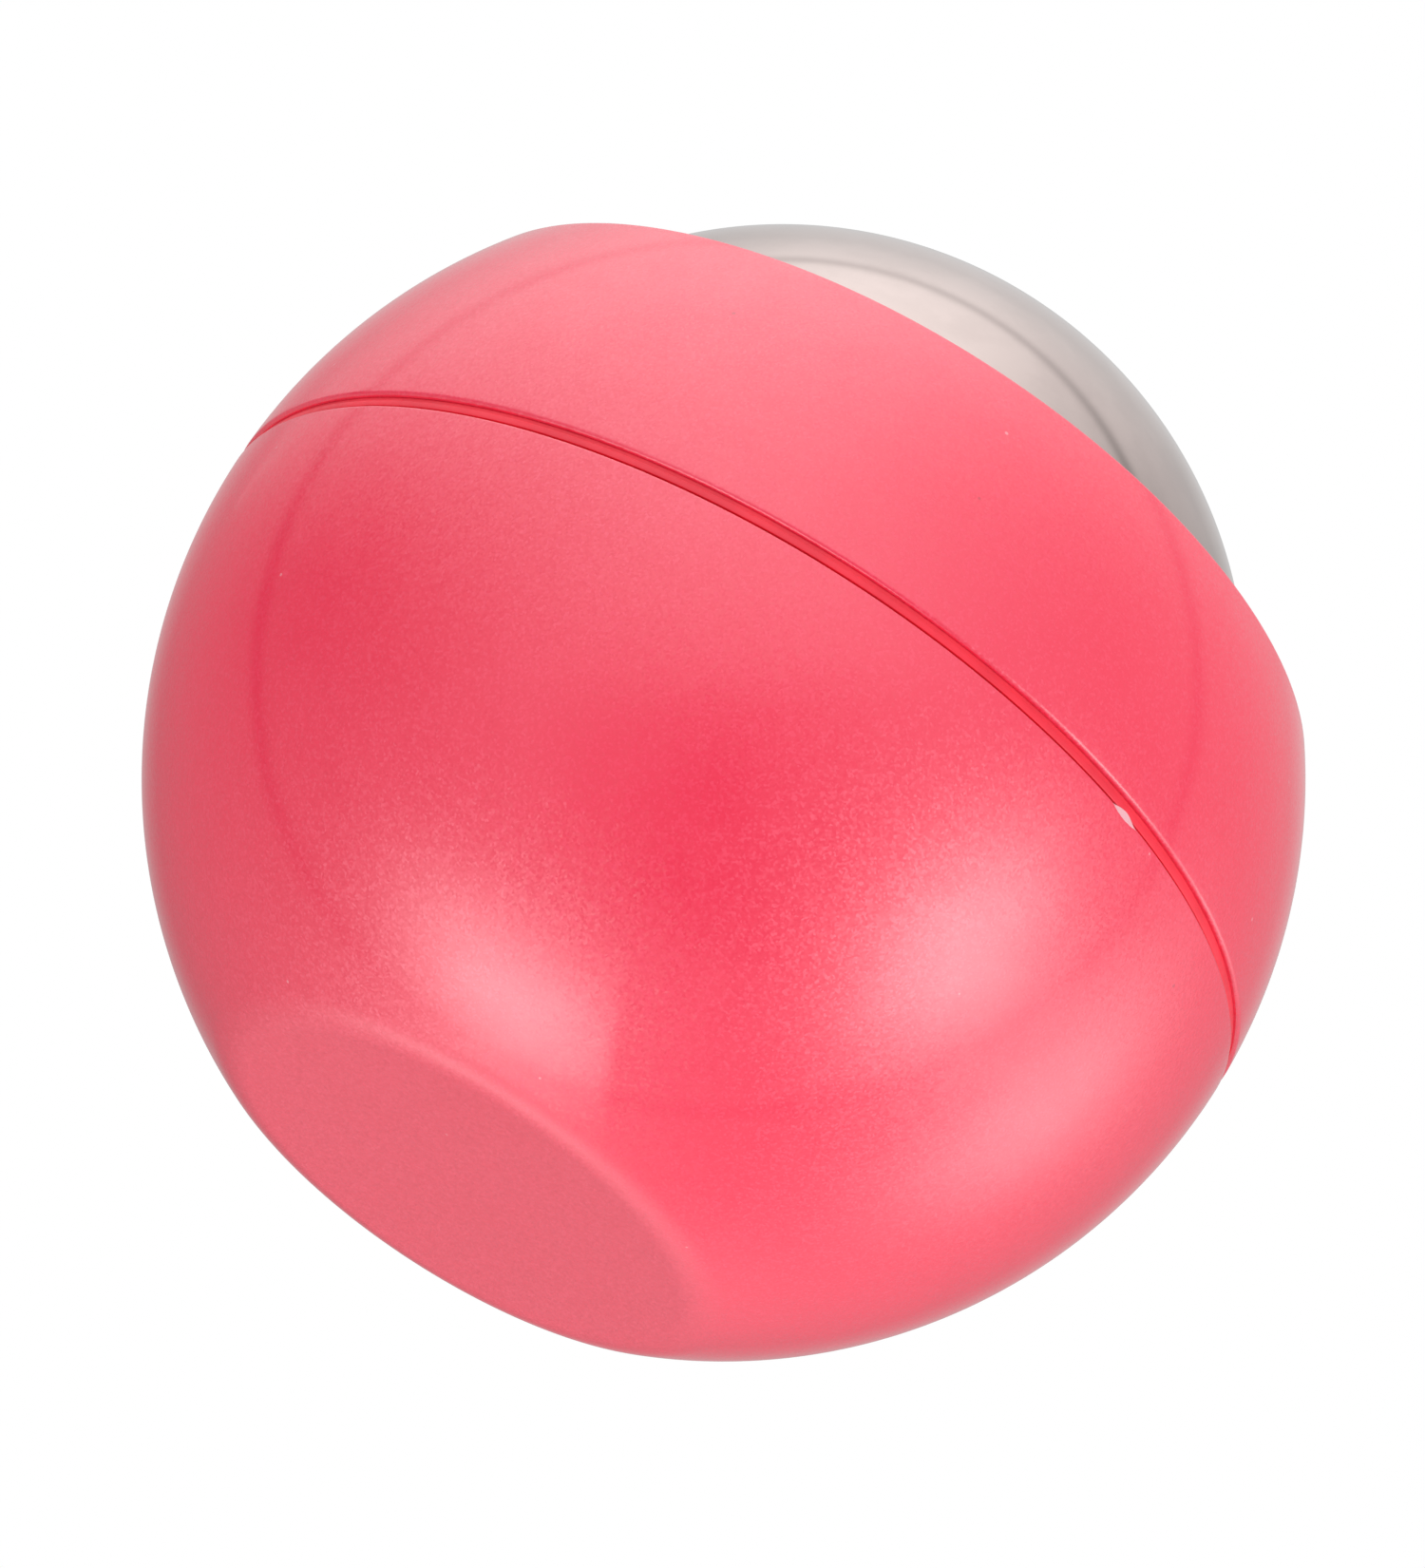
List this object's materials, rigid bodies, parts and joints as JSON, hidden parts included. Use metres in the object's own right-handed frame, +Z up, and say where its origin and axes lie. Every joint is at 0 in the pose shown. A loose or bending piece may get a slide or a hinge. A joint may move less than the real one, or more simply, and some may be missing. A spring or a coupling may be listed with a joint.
{
  "type": "steel ball in a plastic holder",
  "caption": "Polished steel ball that rolls in a round two-part pearl plastic holder with a flat base; the collar lifts off to free the ball.",
  "frame": {"origin": "centre of the flat base that it rests on", "axes": "+Z up through the ball's centre; the ball rolls about X"},
  "size_m": [0.0634, 0.0634, 0.06],
  "materials": {
    "pearl_paint": "fine pearl lacquer over plastic, glossy",
    "red_plastic": "unpainted moulded plastic",
    "polished_steel": "mirror polished",
    "plug_steel": "turned, polished flush",
    "spring_steel": "bright drawn wire",
    "screw_steel": "zinc plated",
    "weight_steel": "sawn and oiled",
    "natural_plastic": "moulded acetal, satin",
    "dark_plastic": "moulded nylon, satin",
    "white_plastic": "skived slippery film, waxy",
    "rubber": "moulded nitrile rubber",
    "felt": "pressed wool felt",
    "foam": "closed-cell foam",
    "gel": "set translucent gel"
  },
  "bodies": {
    "holder": {"lower_shell": "pearl_paint", "joint_ring": "red_plastic", "o_ring": "rubber", "socket_cup": "natural_plastic", "slip_washer": "white_plastic", "cup_screws": "screw_steel", "base_weight": "weight_steel", "weight_pad": "foam"},
    "collar": {"upper_shell": "pearl_paint", "lip_ring": "natural_plastic", "wiper_ring": "felt", "retaining_ring": "spring_steel"},
    "carrier": {"carrier": "dark_plastic"},
    "ball": {"ball_lower_half": "polished_steel", "ball_upper_half": "polished_steel", "weld_bead": "polished_steel", "fill_plug": "plug_steel", "cooling_gel": "gel"},
    "support_ball_1": {"support_ball_1": "polished_steel"},
    "support_ball_2": {"support_ball_2": "polished_steel"},
    "support_ball_3": {"support_ball_3": "polished_steel"}
  },
  "joints": [
    {"name": "collar_lift", "type": "slide", "parent": "holder", "child": "collar", "axis": [0, 0, 1], "range_m": [0, 0.036]},
    {"name": "carrier_spin", "type": "hinge", "parent": "holder", "child": "carrier", "pos_m": [0, 0, 0.012], "axis": [0, 0, 1], "continuous": true},
    {"name": "ball_roll", "type": "hinge", "parent": "carrier", "child": "ball", "pos_m": [0, 0, 0.0346], "axis": [1, 0, 0], "continuous": true},
    {"name": "support_ball_1_roll", "type": "hinge", "parent": "carrier", "child": "support_ball_1", "pos_m": [0, 0.01795, 0.0132], "axis": [1, 0, 0], "continuous": true},
    {"name": "support_ball_2_roll", "type": "hinge", "parent": "carrier", "child": "support_ball_2", "pos_m": [-0.01555, -0.00898, 0.0132], "axis": [0.8307, -0.2154, -0.5133], "continuous": true},
    {"name": "support_ball_3_roll", "type": "hinge", "parent": "carrier", "child": "support_ball_3", "pos_m": [0.01555, -0.00898, 0.0132], "axis": [0.8307, 0.2154, 0.5133], "continuous": true}
  ],
  "couplings": [
    {"joint": "support_ball_1_roll", "follows": "ball_roll", "ratio": -10.16},
    {"joint": "support_ball_2_roll", "follows": "ball_roll", "ratio": -8.4403},
    {"joint": "support_ball_3_roll", "follows": "ball_roll", "ratio": -8.4403}
  ]
}
